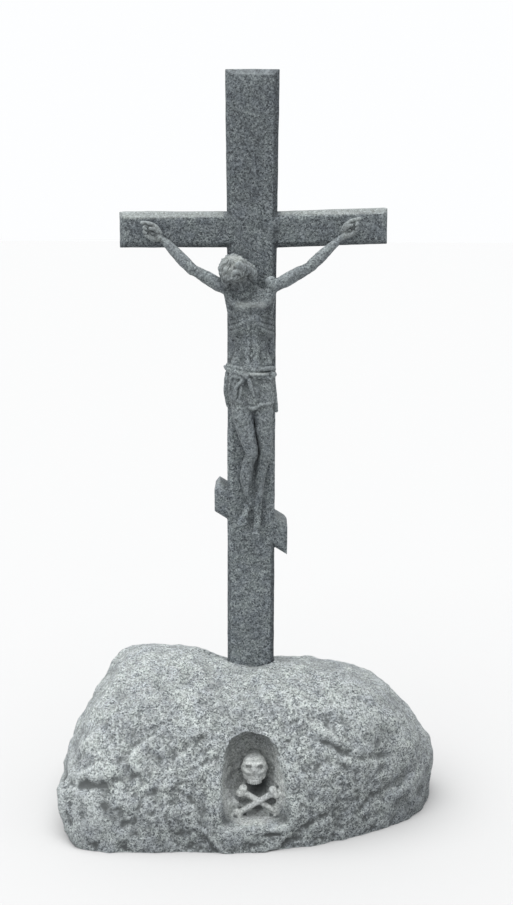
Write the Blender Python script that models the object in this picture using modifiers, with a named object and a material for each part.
"""Granite grave cross: a chamfered cross carved with its figure, let into a rough rock.

Metres, +Z up. X runs to the viewer's right, the front faces -Y, and the origin lies on the
ground under the axis of the cross. The cross and the figure are one stone. The rock, with its
niche, skull and crossed bones, is the other.
"""

import math

import bmesh
import bpy
import numpy as np
from mathutils import Matrix, Vector, noise

# Cross
CROSS_TOP = 1.785
CROSS_DEPTH = 0.105
CHAMFER = 0.012
SHAFT_HALF_FOOT = 0.0575
SHAFT_HALF_CROSSING = 0.059
SHAFT_HALF_TOP = 0.0625
SHAFT_FOOT_Z = 0.280
SHAFT_WIDENS_Z = 1.250
ARM_REACH_LEFT = 0.3070
ARM_REACH_RIGHT = 0.3140
ARM_TOP_Z = 1.4657
ARM_BOTTOM_Z = 1.3835
ARM_DROP_LEFT = 0.0011
ARM_RISE_RIGHT = 0.0101
ARM_EASE = 0.0035

# Slanted foot bar
BAR_REACH = 0.0885
BAR_CENTRE_Z = 0.7375
BAR_HEIGHT = 0.0775
BAR_FALL = 0.615
BAR_CLIP_ACROSS = 0.0108
BAR_CLIP_DOWN = 0.0205
BAR_ROUND_ACROSS = 0.0070
BAR_ROUND_DOWN = 0.0055
BAR_EASE = 0.0065

# Figure
FIGURE_VOXEL = 0.0030
FIGURE_TRIANGLES = 5700
SEAM = 0.0016
SETTLE_ROUNDS = 4
HEAD_CENTRE = Vector((-0.0310, -0.1150, 1.3270))
HEAD_BOW = math.radians(33.0)
HEAD_LEAN = math.radians(17.0)

# Rock
ROCK_CENTRE = Vector((-0.015, -0.010, 0.170))
ROCK_EDGE = 13.0
ROCK_KEEP = 0.38
LUMP_SIZE = 0.105
LUMP_DEPTH = 0.011
SEAT_X = -0.018
SEAT_HALF_WIDTH = 0.072
SEAT_DEPTH = 0.032
SEAT_FALL = 0.26
SOCKET_GAP = 0.0006
SOCKET_FLOOR_GAP = 0.0003

# Niche
NICHE_BACK_X = -0.002
NICHE_FRONT_X = 0.022
NICHE_BACK_HALF = 0.046
NICHE_FRONT_HALF = 0.112
NICHE_FLOOR_Z = 0.0620
NICHE_SPRING_Z = 0.2040
NICHE_BACK_Y = -0.1620
NICHE_LEDGE_Z = 0.1360
RECESS_CENTRE = Vector((0.0150, -0.3100))
RECESS_HALF = Vector((0.0850, 0.0800))
CUTTER_FRONT_Y = -0.4200
HOLLOW_CENTRE = Vector((0.0115, -0.2150, 0.1390))
HOLLOW_RADIUS = 0.0270
SKULL_CENTRE = Vector((0.0105, -0.2090, 0.1775))
BONE_CROSSING = Vector((0.0190, -0.2375, 0.0935))
BONE_SHIFT = Vector((-0.0052, -0.0015, -0.0010))
BONE_HALF_LENGTH = 0.0505
BONE_TILT = math.radians(32.4)
BONE_RADIUS = 0.0072

# Cleavage faces of the rock: azimuth from +X, elevation, distance from the rock's centre
ROCK_FACES = {
    "left slope": (180, 28, 0.382),
    "left foot": (180, -8, 0.509),
    "left undercut": (180, -42, 0.434),
    "left shoulder": (180, 62, 0.350),
    "left crown": (96, 70, 0.264),
    "right crown": (70, 71, 0.209),
    "right shoulder": (20, 70, 0.268),
    "right slope": (4, 46, 0.344),
    "right flank": (0, 31, 0.428),
    "right end": (0, 0, 0.597),
    "right undercut": (0, -27, 0.500),
    "front foot": (-90, 6, 0.284),
    "front middle": (-92, 26, 0.250),
    "front upper": (-90, 42, 0.236),
    "front crown": (-90, 66, 0.222),
    "front left": (-122, 24, 0.375),
    "front left upper": (-130, 48, 0.325),
    "front right": (-66, 3, 0.303),
    "front right corner": (-38, 2, 0.410),
    "front right upper": (-52, 40, 0.325),
    "back foot": (92, 4, 0.270),
    "back upper": (88, 42, 0.255),
    "back left": (130, 18, 0.370),
    "back right": (48, 14, 0.370),
}


def collection(name):
    """Makes a collection of the scene."""
    made = bpy.data.collections.new(name)
    bpy.context.scene.collection.children.link(made)
    return made


def granite(name, colour, roughness):
    """Makes a plain material of one colour."""
    material = bpy.data.materials.new(name)
    material.use_nodes = True
    shader = material.node_tree.nodes["Principled BSDF"]
    shader.inputs["Base Color"].default_value = (*colour, 1.0)
    shader.inputs["Roughness"].default_value = roughness
    shader.inputs["Metallic"].default_value = 0.0
    return material


def mesh_object(name, shape, into):
    """Turns a bmesh into an object of a collection."""
    bmesh.ops.recalc_face_normals(shape, faces=shape.faces)
    mesh = bpy.data.meshes.new(name)
    shape.to_mesh(mesh)
    shape.free()
    made = bpy.data.objects.new(name, mesh)
    into.objects.link(made)
    return made


def hide_cutter(helper):
    """Marks an object as a helper that isn't part of the work."""
    helper.hide_render = True
    helper.display_type = "WIRE"


def join(target, helper, operation):
    """Adds a Boolean of a helper to an object."""
    hide_cutter(helper)
    modifier = target.modifiers.new(helper.name, "BOOLEAN")
    modifier.operation = operation
    modifier.solver = "EXACT"
    modifier.object = helper


def add_ball(shape, centre, radii, turn=None):
    """Adds an ellipsoid."""
    place = Matrix.Translation(centre) @ (turn or Matrix.Identity(4)) @ Matrix.Diagonal((*radii, 1.0))
    bmesh.ops.create_icosphere(shape, subdivisions=3, radius=1.0, matrix=place)


def add_limb(shape, *stations):
    """Adds a round limb through stations of x, y, z and radius."""
    for x, y, z, radius in stations:
        add_ball(shape, Vector((x, y, z)), (radius, radius, radius))
    for (*start, start_radius), (*end, end_radius) in zip(stations, stations[1:]):
        along = Vector(end) - Vector(start)
        middle = (Vector(start) + Vector(end)) / 2
        place = Matrix.Translation(middle) @ along.to_track_quat("Z", "Y").to_matrix().to_4x4()
        bmesh.ops.create_cone(
            shape, cap_ends=True, segments=16, radius1=start_radius, radius2=end_radius,
            depth=along.length, matrix=place,
        )


def shaft_half(z):
    """Gives the half width of the shaft at a height."""
    if z <= SHAFT_WIDENS_Z:
        return SHAFT_HALF_FOOT
    if z <= ARM_TOP_Z:
        share = (z - SHAFT_WIDENS_Z) / (ARM_TOP_Z - SHAFT_WIDENS_Z)
        return SHAFT_HALF_FOOT + share * (SHAFT_HALF_CROSSING - SHAFT_HALF_FOOT)
    share = (z - ARM_TOP_Z) / (CROSS_TOP - ARM_TOP_Z)
    return SHAFT_HALF_CROSSING + share * (SHAFT_HALF_TOP - SHAFT_HALF_CROSSING)


def bar_edge(x, side):
    """Gives the height of the slanted bar's upper (+1) or lower (-1) edge."""
    return BAR_CENTRE_Z + side * BAR_HEIGHT / 2 - BAR_FALL * x


def cross_outline():
    """Lists the corners of the cross seen from the front, counterclockwise from its foot."""
    foot = SHAFT_HALF_FOOT
    right = [
        (foot, SHAFT_FOOT_Z),
        (foot, bar_edge(foot, -1)),
        (BAR_REACH, bar_edge(BAR_REACH, -1)),
        (BAR_REACH, bar_edge(BAR_REACH, 1) - BAR_ROUND_DOWN),
        (BAR_REACH - BAR_ROUND_ACROSS, bar_edge(BAR_REACH - BAR_ROUND_ACROSS, 1)),
        (foot, bar_edge(foot, 1)),
        (foot, SHAFT_WIDENS_Z),
        (shaft_half(ARM_BOTTOM_Z), ARM_BOTTOM_Z),
        (ARM_REACH_RIGHT, ARM_BOTTOM_Z + ARM_RISE_RIGHT),
        (ARM_REACH_RIGHT, ARM_TOP_Z + ARM_RISE_RIGHT),
        (shaft_half(ARM_TOP_Z), ARM_TOP_Z),
        (SHAFT_HALF_TOP, CROSS_TOP),
    ]
    left = [
        (-SHAFT_HALF_TOP, CROSS_TOP),
        (-shaft_half(ARM_TOP_Z), ARM_TOP_Z),
        (-ARM_REACH_LEFT, ARM_TOP_Z - ARM_DROP_LEFT),
        (-ARM_REACH_LEFT, ARM_BOTTOM_Z - ARM_DROP_LEFT),
        (-shaft_half(ARM_BOTTOM_Z), ARM_BOTTOM_Z),
        (-foot, SHAFT_WIDENS_Z),
        (-foot, bar_edge(-foot, 1)),
        (-BAR_REACH + BAR_CLIP_ACROSS, bar_edge(-BAR_REACH + BAR_CLIP_ACROSS, 1)),
        (-BAR_REACH, bar_edge(-BAR_REACH, 1) - BAR_CLIP_DOWN),
        (-BAR_REACH, bar_edge(-BAR_REACH, -1)),
        (-foot, bar_edge(-foot, -1)),
        (-foot, SHAFT_FOOT_Z),
    ]
    return eased(right + left)


def eased(corners):
    """Fills the inner corners of an outline with two small facets, as the chisel leaves them."""
    made = []
    for index, corner in enumerate(corners):
        here = Vector(corner)
        back, ahead = (Vector(corners[(index + step) % len(corners)]) - here for step in (-1, 1))
        if back.normalized().cross(ahead.normalized()) < 0.3:
            made.append(corner)
            continue
        reach = BAR_EASE if here.y < SHAFT_WIDENS_Z else ARM_EASE
        start, end = here + reach * back.normalized(), here + reach * ahead.normalized()
        made += [tuple(start), tuple(here.lerp((start + end) / 2, 0.6)), tuple(end)]
    return made


def chamfered_slab(shape, outline, depth, plain_z):
    """Extrudes an outline and chamfers its front and back edges, except those lying at plain_z."""
    corners = [shape.verts.new((x, -depth / 2, z)) for x, z in outline]
    front = shape.faces.new(corners)
    grown = bmesh.ops.extrude_face_region(shape, geom=[front], use_keep_orig=True)
    moved = [item for item in grown["geom"] if isinstance(item, bmesh.types.BMVert)]
    bmesh.ops.translate(shape, verts=moved, vec=(0.0, depth, 0.0))
    bmesh.ops.recalc_face_normals(shape, faces=shape.faces)
    rim = [
        edge
        for edge in shape.edges
        if abs(edge.verts[0].co.y - edge.verts[1].co.y) < depth / 2
        and not all(abs(vert.co.z - plain_z) < 1e-5 for vert in edge.verts)
    ]
    bmesh.ops.bevel(
        shape, geom=rim, offset=CHAMFER, offset_type="OFFSET", segments=1, profile=0.5, affect="EDGES",
        material=-1,
    )


def smooth_run(stations):
    """Adds stations between the given ones, on a smooth curve through them."""
    points = [np.array(station, dtype=float) for station in stations]
    if len(points) < 3:
        return points
    ends = [2 * points[0] - points[1], *points, 2 * points[-1] - points[-2]]
    run = []
    for before, start, end, after in zip(ends, ends[1:], ends[2:], ends[3:]):
        for share in (0.0, 1 / 3, 2 / 3):
            bend = 2 * before - 5 * start + 4 * end - after
            twist = 3 * start - before - 3 * end + after
            turned = share ** 2 * bend + share ** 3 * twist
            run.append(start + share * (end - before) / 2 + turned / 2)
    return run + [points[-1]]


class Masses:
    """Rounded masses that blend into one skin."""

    def __init__(self, blend):
        self.blend = blend
        self.balls = []
        self.limbs = []

    def ball(self, centre, radii, turn=None):
        """Adds an ellipsoid."""
        self.balls.append((Vector(centre), Vector(radii), (turn or Matrix.Identity(4)).to_3x3()))

    def limb(self, *stations):
        """Adds a round limb that runs smoothly through stations of x, y, z and radius."""
        self.limbs.append(smooth_run(stations))

    def add_to(self, shape):
        """Adds every mass to a bmesh as a closed primitive."""
        for centre, radii, turn in self.balls:
            add_ball(shape, centre, radii, turn.to_4x4())
        for stations in self.limbs:
            add_limb(shape, *stations)

    def distance(self, points):
        """Gives the distance of points to the blended skin, negative inside."""
        total = np.zeros(len(points))
        for centre, radii, turn in self.balls:
            local = (points - np.array(centre)) @ np.array(turn)
            scaled = np.linalg.norm(local / np.array(radii), axis=1)
            slope = np.linalg.norm(local / np.array(radii) ** 2, axis=1)
            total += np.exp(-scaled * (scaled - 1.0) / np.maximum(slope, 1e-9) / self.blend)
        for stations in self.limbs:
            near = np.full(len(points), np.inf)
            for start, end in zip(stations, stations[1:]):
                root, along = np.array(start[:3]), np.array(end[:3]) - np.array(start[:3])
                share = np.clip((points - root) @ along / (along @ along), 0.0, 1.0)
                away = np.linalg.norm(points - root - share[:, None] * along, axis=1)
                near = np.minimum(near, away - start[3] - share * (end[3] - start[3]))
            total += np.exp(-near / self.blend)
        return -self.blend * np.log(np.maximum(total, 1e-30))


def skin_distance(groups, points):
    """Gives the distance to the nearest skin, with a soft seam between groups."""
    near = sum(np.exp(-np.clip(group.distance(points), -0.1, 0.1) / SEAM) for group in groups)
    return -SEAM * np.log(near)


def settle(groups, points):
    """Moves points onto the blended skin along its slope."""
    step = 0.0004
    for _ in range(SETTLE_ROUNDS):
        here = skin_distance(groups, points)
        ahead = [skin_distance(groups, points + step * axis) for axis in np.eye(3)]
        slope = np.stack([(value - here) / step for value in ahead], axis=1)
        reach = np.clip(here, -0.004, 0.004) / np.maximum((slope ** 2).sum(axis=1), 0.25)
        points = points - reach[:, None] * slope
    return points


def torso():
    """Models chest, belly, pelvis and the muscles that show."""
    body = Masses(0.0038)
    body.ball((-0.003, -0.079, 1.234), (0.041, 0.033, 0.058))
    body.ball((-0.001, -0.086, 1.272), (0.044, 0.024, 0.024))
    body.ball((-0.002, -0.075, 1.165), (0.030, 0.024, 0.060))
    body.ball((0.000, -0.080, 1.092), (0.043, 0.030, 0.038))
    body.limb((-0.001, -0.095, 1.205, 0.006), (0.000, -0.096, 1.160, 0.007), (0.001, -0.096, 1.122, 0.010))
    body.limb((0.000, -0.088, 1.286, 0.017), (-0.013, -0.100, 1.310, 0.016))
    body.limb((-0.013, -0.103, 1.255, 0.0105), (-0.033, -0.1, 1.261, 0.0115), (-0.05, -0.096, 1.281, 0.0115))
    body.limb((0.010, -0.103, 1.256, 0.0105), (0.030, -0.1, 1.263, 0.0115), (0.047, -0.096, 1.289, 0.0115))
    body.limb((-0.0535, -0.082, 1.275, 0.0095), (-0.0495, -0.078, 1.246, 0.008), (-0.04, -0.074, 1.205, 0.008))
    body.limb((0.045, -0.082, 1.275, 0.0095), (0.043, -0.078, 1.246, 0.008), (0.036, -0.074, 1.205, 0.008))
    for side in (-1, 1):
        body.limb(
            (side * 0.004 - 0.001, -0.1030, 1.224, 0.0060), (side * 0.018 - 0.001, -0.1000, 1.213, 0.0065),
            (side * 0.031 - 0.001, -0.0890, 1.199, 0.0065), (side * 0.036 - 0.001, -0.0740, 1.190, 0.0060)
        )
        body.limb(
            (side * 0.030 - 0.001, -0.076, 1.195, 0.0090), (side * 0.026, -0.076, 1.155, 0.0095),
            (side * 0.034, -0.080, 1.118, 0.0110)
        )
    body.ball((-0.051, -0.092, 1.292), (0.0140, 0.0140, 0.0135))
    body.ball((0.045, -0.091, 1.3085), (0.0140, 0.0135, 0.0135))
    return body


def head():
    """Models the bowed head with hair, beard and twisted band, its face looking along local -Y."""
    turned = Matrix.Rotation(-HEAD_LEAN, 4, "Y") @ Matrix.Rotation(HEAD_BOW, 4, "X")
    place = Matrix.Translation(HEAD_CENTRE) @ turned
    skull_and_hair = Masses(0.0018)

    def ball(x, y, z, *radii):
        skull_and_hair.ball(place @ Vector((x, y, z)), radii, turned)

    def strand(*stations):
        skull_and_hair.limb(*((*(place @ Vector(station[:3])), station[3]) for station in stations))

    ball(-0.008, 0.006, 0.0125, 0.0285, 0.0365, 0.0308)
    ball(0.0, -0.011, -0.013, 0.0225, 0.0210, 0.0290)
    strand((-0.015, -0.0265, 0.004, 0.0030), (0.0, -0.0300, 0.006, 0.0030), (0.015, -0.0265, 0.004, 0.0030))
    strand((0.0, -0.0325, 0.001, 0.0020), (0.0, -0.0385, -0.0130, 0.0034))
    strand((-0.008, -0.029, -0.024, 0.0020), (0.0, -0.032, -0.0205, 0.0024), (0.008, -0.029, -0.024, 0.0020))
    ball(0.0, -0.0205, -0.0390, 0.0150, 0.0125, 0.0130)
    strand((0.0, -0.0250, -0.0430, 0.0060), (0.0, -0.0240, -0.0510, 0.0040))
    for side in (-1, 1):
        ball(side * 0.0140, -0.0235, -0.0090, 0.0060, 0.0050, 0.0050)
        aside = side if side < 0 else 0.8
        strand(
            (aside * 0.020, -0.008, 0.026, 0.0085), (aside * 0.029, -0.011, 0.011, 0.0085),
            (aside * 0.0335, -0.008, -0.012, 0.0095), (aside * 0.0300, -0.002, -0.036, 0.0080)
        )
        strand((side * 0.014, 0.018, 0.002, 0.021), (side * 0.012, 0.026, -0.030, 0.017))
    ring = [math.radians(angle) for angle in range(0, 361, 20)]
    turns = [(0.0280 * math.sin(angle) - 0.0075, math.cos(angle)) for angle in ring]
    strand(*((x, 0.004 - 0.037 * front, 0.019 - 0.003 * front, 0.0046) for x, front in turns))
    skull_and_hair.ball((-0.022, -0.070, 1.322), (0.026, 0.026, 0.030))
    skull_and_hair.limb(
        (-0.030, -0.150, 1.3510, 0.0090), (-0.018, -0.147, 1.3450, 0.0098), (-0.006, -0.140, 1.3375, 0.0094),
        (0.0045, -0.131, 1.3305, 0.0084), (0.0078, -0.1215, 1.3225, 0.0068), (0.0066, -0.114, 1.3150, 0.0050)
    )
    skull_and_hair.limb((-0.0200, -0.1400, 1.3580, 0.0070), (0.0035, -0.1210, 1.3385, 0.0070))
    return skull_and_hair


def arms():
    """Models the two raised arms with their hands on the crossbar."""
    both = Masses(0.0022)
    left = (
        (-0.054, -0.096, 1.292, 0.0150), (-0.078, -0.1005, 1.304, 0.0142), (-0.100, -0.100, 1.317, 0.0138),
        (-0.121, -0.098, 1.329, 0.0122), (-0.139, -0.096, 1.339, 0.0122), (-0.1575, -0.091, 1.356, 0.0128),
        (-0.184, -0.083, 1.3835, 0.0104), (-0.199, -0.077, 1.399, 0.0072), (-0.212, -0.0715, 1.408, 0.0076),
        (-0.2246, -0.066, 1.4174, 0.0080),
    )
    right = (
        (0.052, -0.096, 1.3000, 0.0148), (0.078, -0.1005, 1.3130, 0.0136), (0.1011, -0.1000, 1.3265, 0.0130),
        (0.1267, -0.097, 1.3395, 0.0116), (0.139, -0.095, 1.3490, 0.0120), (0.157, -0.0900, 1.3640, 0.0122),
        (0.1810, -0.083, 1.3870, 0.0092), (0.199, -0.077, 1.4035, 0.0072), (0.212, -0.0715, 1.4145, 0.0076),
        (0.2213, -0.066, 1.4262, 0.0080),
    )
    both.limb(*left)
    both.limb(*right)
    add_hand(both, Vector(left[-1][:3]), Vector((-0.855, 0.0, 0.520)).normalized(), -1)
    add_hand(both, Vector(right[-1][:3]), Vector((0.800, 0.0, 0.600)).normalized(), 1)
    return both


def add_hand(masses, palm, reach, side):
    """Adds a palm on the crossbar with half closed fingers and a nail head."""
    out = Vector((0.0, -1.0, 0.0))
    up = -side * reach.cross(out)
    turn = Matrix((reach, up, out)).transposed().to_4x4()
    palm = palm + 0.002 * out
    masses.ball(palm + 0.003 * reach, (0.0180, 0.0140, 0.0085), turn)
    masses.ball(palm + 0.0095 * out, (0.0038, 0.0038, 0.0030))
    shapes = (
        ((-0.012, 0.0070, 0.004, 0.0050), (0.004, 0.0135, 0.006, 0.0054), (0.022, 0.0125, 0.007, 0.0046),
         (0.036, 0.0050, 0.0075, 0.0036)),
        ((-0.004, 0.0075, 0.008, 0.0046), (0.0125, 0.0055, 0.0125, 0.0038)),
        ((0.012, 0.0045, 0.004, 0.0046), (0.0240, 0.0030, 0.0070, 0.0042), (0.0220, 0.0, 0.0120, 0.0034)),
        ((0.010, -0.0030, 0.004, 0.0045), (0.0195, -0.0070, 0.0070, 0.0040), (0.0165, -0.0085, 0.0115, 0.0033)),
        ((-0.010, -0.0070, 0.004, 0.0050), (0.004, -0.0120, 0.0055, 0.0050), (0.0125, -0.0125, 0.0080, 0.0036)),
    )
    for shape in shapes:
        masses.limb(*(
            (*(palm + along * reach + rise * up + lift * out), radius) for along, rise, lift, radius in shape
        ))


def legs():
    """Models the legs, side by side at the knees, with the feet hanging against the foot bar."""
    both = Masses(0.0028)
    both.limb(
        (-0.024, -0.084, 1.065, 0.028), (-0.0210, -0.088, 1.020, 0.0260), (-0.0190, -0.090, 0.988, 0.0235),
        (-0.009, -0.090, 0.945, 0.0190), (0.0008, -0.088, 0.9085, 0.0152), (-0.0035, -0.077, 0.882, 0.0142),
        (-0.0100, -0.069, 0.848, 0.0148), (-0.0080, -0.065, 0.818, 0.0118), (-0.0040, -0.063, 0.788, 0.0080),
        (-0.008, -0.066, 0.766, 0.0084)
    )
    both.limb(
        (0.024, -0.082, 1.065, 0.027), (0.0270, -0.084, 1.020, 0.0240), (0.0290, -0.084, 0.988, 0.0210),
        (0.0325, -0.082, 0.945, 0.0176), (0.0345, -0.081, 0.9085, 0.0142), (0.0290, -0.073, 0.882, 0.0130),
        (0.0235, -0.067, 0.847, 0.0124), (0.0205, -0.063, 0.818, 0.0098), (0.0190, -0.061, 0.788, 0.0076),
        (0.0165, -0.064, 0.762, 0.0080)
    )
    both.ball((0.0012, -0.0985, 0.9095), (0.0080, 0.0060, 0.0105))
    both.ball((0.0350, -0.0905, 0.9095), (0.0075, 0.0060, 0.0100))
    both.limb((-0.0085, -0.067, 0.768, 0.0085), (-0.015, -0.078, 0.752, 0.008), (-0.020, -0.086, 0.74, 0.007))
    both.limb((-0.0150, -0.078, 0.752, 0.0060), (-0.0275, -0.084, 0.734, 0.0050))
    both.limb((-0.0150, -0.078, 0.752, 0.0060), (-0.0135, -0.086, 0.732, 0.0050))
    both.limb((0.0155, -0.065, 0.758, 0.008), (0.0145, -0.077, 0.733, 0.0082), (0.012, -0.086, 0.708, 0.0066))
    both.limb((0.002, -0.062, 1.040, 0.026), (0.014, -0.053, 0.910, 0.014), (0.005, -0.051, 0.750, 0.013))
    return both


def loincloth():
    """Models the cloth about the hips: wrap, rolled belt, knot, hanging folds, hem and side ends."""
    cloth = Masses(0.0022)
    cloth.limb((-0.025, -0.082, 1.083, 0.0285), (-0.0245, -0.086, 1.044, 0.0280))
    cloth.limb((0.024, -0.080, 1.083, 0.0285), (0.0275, -0.084, 1.040, 0.0265))
    cloth.limb((0.000, -0.090, 1.082, 0.0250), (0.003, -0.092, 1.045, 0.0240), (0.004, -0.091, 1.032, 0.0210))
    cloth.limb(
        (-0.0585, -0.067, 1.105, 0.0052), (-0.0505, -0.086, 1.102, 0.0055), (-0.0360, -0.105, 1.099, 0.0055),
        (-0.0146, -0.115, 1.096, 0.0060), (0.0080, -0.115, 1.0975, 0.0050), (0.0246, -0.110, 1.0975, 0.0050),
        (0.0420, -0.097, 1.095, 0.0052), (0.0525, -0.077, 1.092, 0.0055)
    )
    cloth.ball((-0.0146, -0.1170, 1.0945), (0.0090, 0.0055, 0.0070))
    knot = Vector((-0.0146, -0.1150, 1.092))
    feet = (-0.040, -0.103, 1.040), (-0.027, -0.110, 1.034), (-0.011, -0.1145, 1.024), (0.002, -0.115, 1.019)
    for foot in feet:
        middle = (knot + Vector(foot)) / 2 + Vector((0.0, -0.0055, 0.0))
        cloth.limb((*knot, 0.0034), (*middle, 0.0040), (*foot, 0.0040))
    cloth.limb(
        (-0.0500, -0.091, 1.043, 0.0040), (-0.0360, -0.105, 1.038, 0.0042), (-0.0262, -0.111, 1.0335, 0.0042),
        (-0.0100, -0.1145, 1.0215, 0.0042), (0.0018, -0.115, 1.017, 0.0042), (0.014, -0.1135, 1.0190, 0.0042),
        (0.0250, -0.109, 1.0235, 0.0042), (0.0400, -0.099, 1.0270, 0.0040), (0.0500, -0.084, 1.0280, 0.0040)
    )
    cloth.limb(
        (-0.0560, -0.063, 1.090, 0.0060), (-0.0590, -0.065, 1.066, 0.0060), (-0.0590, -0.065, 1.045, 0.0058),
        (-0.0545, -0.063, 1.018, 0.0045)
    )
    cloth.limb((0.052, -0.065, 1.060, 0.0050), (0.0555, -0.065, 1.032, 0.0050), (0.0580, -0.063, 1.010, 0.0044))
    return cloth


def figure(into):
    """Models the figure: groups of masses under one skin, settled on their blend and thinned."""
    groups = [torso(), head(), arms(), legs(), loincloth()]
    shape = bmesh.new()
    for group in groups:
        group.add_to(shape)
    rough = mesh_object("figure masses", shape, into)
    skin = rough.modifiers.new("skin", "REMESH")
    skin.mode = "VOXEL"
    skin.voxel_size = FIGURE_VOXEL
    mesh = bpy.data.meshes.new_from_object(rough.evaluated_get(bpy.context.evaluated_depsgraph_get()))
    bpy.data.objects.remove(rough)
    points = np.empty(3 * len(mesh.vertices))
    mesh.vertices.foreach_get("co", points)
    settled = settle(groups, points.reshape(-1, 3))
    mesh.vertices.foreach_set("co", settled.ravel())
    mesh.update()
    made = bpy.data.objects.new("figure", mesh)
    into.objects.link(made)
    thin = made.modifiers.new("thin", "DECIMATE")
    thin.ratio = FIGURE_TRIANGLES / (2 * len(mesh.polygons))
    return made


def rock_reach(direction):
    """Gives the distance from the rock's centre to its surface along a unit direction."""
    pull = 0.0
    for azimuth, elevation, distance in ROCK_FACES.values():
        turn, rise = math.radians(azimuth), math.radians(elevation)
        normal = Vector((math.cos(rise) * math.cos(turn), math.cos(rise) * math.sin(turn), math.sin(rise)))
        pull += max(0.0, direction.dot(normal) / distance) ** ROCK_EDGE
    pull += max(0.0, -direction.z / (ROCK_CENTRE.z + 0.05)) ** ROCK_EDGE
    return pull ** (-1 / ROCK_EDGE)


def rock_point(direction):
    """Gives a point of the rock's surface: cleavage faces, the seat of the cross and broad lumps."""
    point = ROCK_CENTRE + rock_reach(direction) * direction
    seat = math.exp(-(((point.x - SEAT_X) / SEAT_HALF_WIDTH) ** 2))
    height = min(1.0, max(0.0, (point.z - 0.27) / 0.12))
    point.z -= max(0.0, SEAT_DEPTH + SEAT_FALL * point.y) * seat * height
    lump = noise.fractal(point / LUMP_SIZE, 0.9, 2.1, 3, noise_basis="PERLIN_ORIGINAL")
    return point + LUMP_DEPTH * lump * direction


def rock(into):
    """Models the rough rock with a flat underside."""
    shape = bmesh.new()
    bmesh.ops.create_icosphere(shape, subdivisions=5, radius=1.0)
    for vert in shape.verts:
        vert.co = rock_point(vert.co.normalized())
    everything = [*shape.verts, *shape.edges, *shape.faces]
    cut = bmesh.ops.bisect_plane(
        shape, geom=everything, plane_co=(0, 0, 0), plane_no=(0, 0, -1), clear_outer=True,
    )
    rim = [item for item in cut["geom_cut"] if isinstance(item, bmesh.types.BMEdge)]
    bmesh.ops.holes_fill(shape, edges=rim)
    made = mesh_object("boulder_plinth", shape, into)
    thin = made.modifiers.new("thin", "DECIMATE")
    thin.ratio = ROCK_KEEP
    return made


def socket(into):
    """Models the pocket that the foot of the cross stands in."""
    half = SHAFT_HALF_FOOT + SOCKET_GAP
    depth = CROSS_DEPTH + 2 * SOCKET_GAP
    floor = SHAFT_FOOT_Z - SOCKET_FLOOR_GAP
    outline = [(half, floor), (half, floor + 0.3), (-half, floor + 0.3), (-half, floor)]
    shape = bmesh.new()
    chamfered_slab(shape, outline, depth, floor)
    return mesh_object("socket", shape, into)


def arch(into):
    """Models the upper part of the niche: a round arch on straight sides, which widens to the front."""
    steps = [math.radians(angle) for angle in range(0, 181, 15)]
    mouth = (NICHE_FRONT_X, CUTTER_FRONT_Y, NICHE_FRONT_HALF)
    rings = []
    shape = bmesh.new()
    for x, y, half in (mouth, (NICHE_BACK_X, NICHE_BACK_Y, NICHE_BACK_HALF)):
        outline = [(x + half * math.cos(a), NICHE_SPRING_Z + half * math.sin(a)) for a in steps]
        outline += [(x - half, NICHE_LEDGE_Z), (x + half, NICHE_LEDGE_Z)]
        rings.append([shape.verts.new((across, y, z)) for across, z in outline])
        shape.faces.new(rings[-1])
    for index in range(len(rings[0])):
        following = (index + 1) % len(rings[0])
        shape.faces.new((rings[0][index], rings[0][following], rings[1][following], rings[1][index]))
    return mesh_object("niche arch", shape, into)


def recess(into):
    """Models the rounded lower part of the niche, in front of the crossed bones."""
    height = NICHE_LEDGE_Z + 0.001 - NICHE_FLOOR_Z
    place = Matrix.Translation((*RECESS_CENTRE, NICHE_FLOOR_Z + height / 2))
    shape = bmesh.new()
    bmesh.ops.create_cone(
        shape, cap_ends=True, segments=32, radius1=1.0, radius2=1.0, depth=height,
        matrix=place @ Matrix.Diagonal((*RECESS_HALF, 1.0, 1.0)),
    )
    return mesh_object("niche recess", shape, into)


def hollow(into):
    """Models the round hollow under the skull."""
    shape = bmesh.new()
    add_ball(shape, HOLLOW_CENTRE, (HOLLOW_RADIUS, HOLLOW_RADIUS, HOLLOW_RADIUS))
    return mesh_object("hollow", shape, into)


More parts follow.
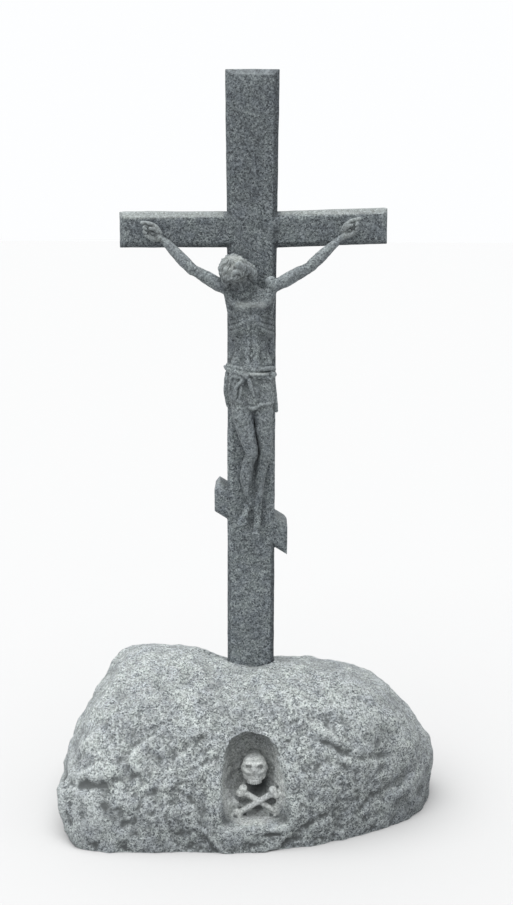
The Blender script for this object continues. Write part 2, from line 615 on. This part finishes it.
def skull(into, helpers):
    """Models the skull, cut with its eye sockets and nose opening."""
    x, y, z = SKULL_CENTRE
    shape = bmesh.new()
    add_ball(shape, Vector((x, y + 0.003, z - 0.001)), (0.0280, 0.0330, 0.0230))
    add_ball(shape, Vector((x, y - 0.006, z - 0.015)), (0.0235, 0.0235, 0.0185))
    add_limb(shape, (x - 0.014, y - 0.016, z - 0.030, 0.0095), (x + 0.014, y - 0.016, z - 0.030, 0.0095))
    add_limb(shape, (x, y + 0.010, z, 0.026), (x, NICHE_BACK_Y + 0.006, z, 0.022))
    for side in (-1, 1):
        brow_start = (x + side * 0.006, y - 0.029, z + 0.0115, 0.0035)
        brow_end = (x + side * 0.022, y - 0.021, z + 0.0090, 0.0038)
        add_limb(shape, brow_start, brow_end)
        cheek_start = (x + side * 0.012, y - 0.027, z - 0.007, 0.0044)
        cheek_end = (x + side * 0.026, y - 0.008, z - 0.005, 0.0044)
        add_limb(shape, cheek_start, cheek_end)
    made = mesh_object("skull", shape, into)
    skin = made.modifiers.new("skin", "REMESH")
    skin.mode = "VOXEL"
    skin.voxel_size = 0.0028
    openings = bmesh.new()
    for side in (-1, 1):
        add_ball(openings, Vector((x + side * 0.0130, y - 0.034, z + 0.0035)), (0.0082, 0.0110, 0.0050))
        add_ball(openings, Vector((x + side * 0.0022, y - 0.038, z - 0.0095)), (0.0032, 0.0090, 0.0045))
    drilled = mesh_object("skull openings", openings, helpers)
    join_skin = drilled.modifiers.new("skin", "REMESH")
    join_skin.mode = "VOXEL"
    join_skin.voxel_size = 0.0020
    join(made, drilled, "DIFFERENCE")
    thin = made.modifiers.new("thin", "DECIMATE")
    thin.ratio = 0.16
    return made


def bones(into):
    """Models the two crossed bones with their double knobs."""
    shape = bmesh.new()
    for side in (-1, 1):
        along = Vector((side * math.cos(BONE_TILT), 0.0, math.sin(BONE_TILT)))
        across = Vector((-side * math.sin(BONE_TILT), 0.0, math.cos(BONE_TILT)))
        middle = BONE_CROSSING + side * BONE_SHIFT
        ends = [middle + end * BONE_HALF_LENGTH * along for end in (-1, 1)]
        thick, slim = BONE_RADIUS * 1.15, BONE_RADIUS * 0.92
        add_limb(shape, (*ends[0], thick), (*middle, slim), (*ends[1], thick))
        for end in ends:
            for knob in (-1, 1):
                add_ball(shape, end + knob * 0.0070 * across, (0.0098, 0.0098, 0.0090))
    made = mesh_object("bones", shape, into)
    skin = made.modifiers.new("skin", "REMESH")
    skin.mode = "VOXEL"
    skin.voxel_size = 0.0026
    thin = made.modifiers.new("thin", "DECIMATE")
    thin.ratio = 0.16
    return made


def cross(into):
    """Models the chamfered cross with its slanted bar."""
    shape = bmesh.new()
    chamfered_slab(shape, cross_outline(), CROSS_DEPTH, SHAFT_FOOT_Z)
    return mesh_object("crucifix", shape, into)


def main():
    """Builds the two stones."""
    for leftover in list(bpy.data.objects):
        bpy.data.objects.remove(leftover)
    parts = collection("grave_cross")
    helpers = collection("cutters")
    crucifix = cross(parts)
    crucifix.data.materials.append(granite("cross granite", (0.155, 0.175, 0.185), 0.82))
    join(crucifix, figure(helpers), "UNION")
    plinth = rock(parts)
    plinth.data.materials.append(granite("rock granite", (0.38, 0.42, 0.41), 0.90))
    for cutter in (socket(helpers), arch(helpers), recess(helpers), hollow(helpers)):
        join(plinth, cutter, "DIFFERENCE")
    join(plinth, skull(helpers, helpers), "UNION")
    join(plinth, bones(helpers), "UNION")


main()
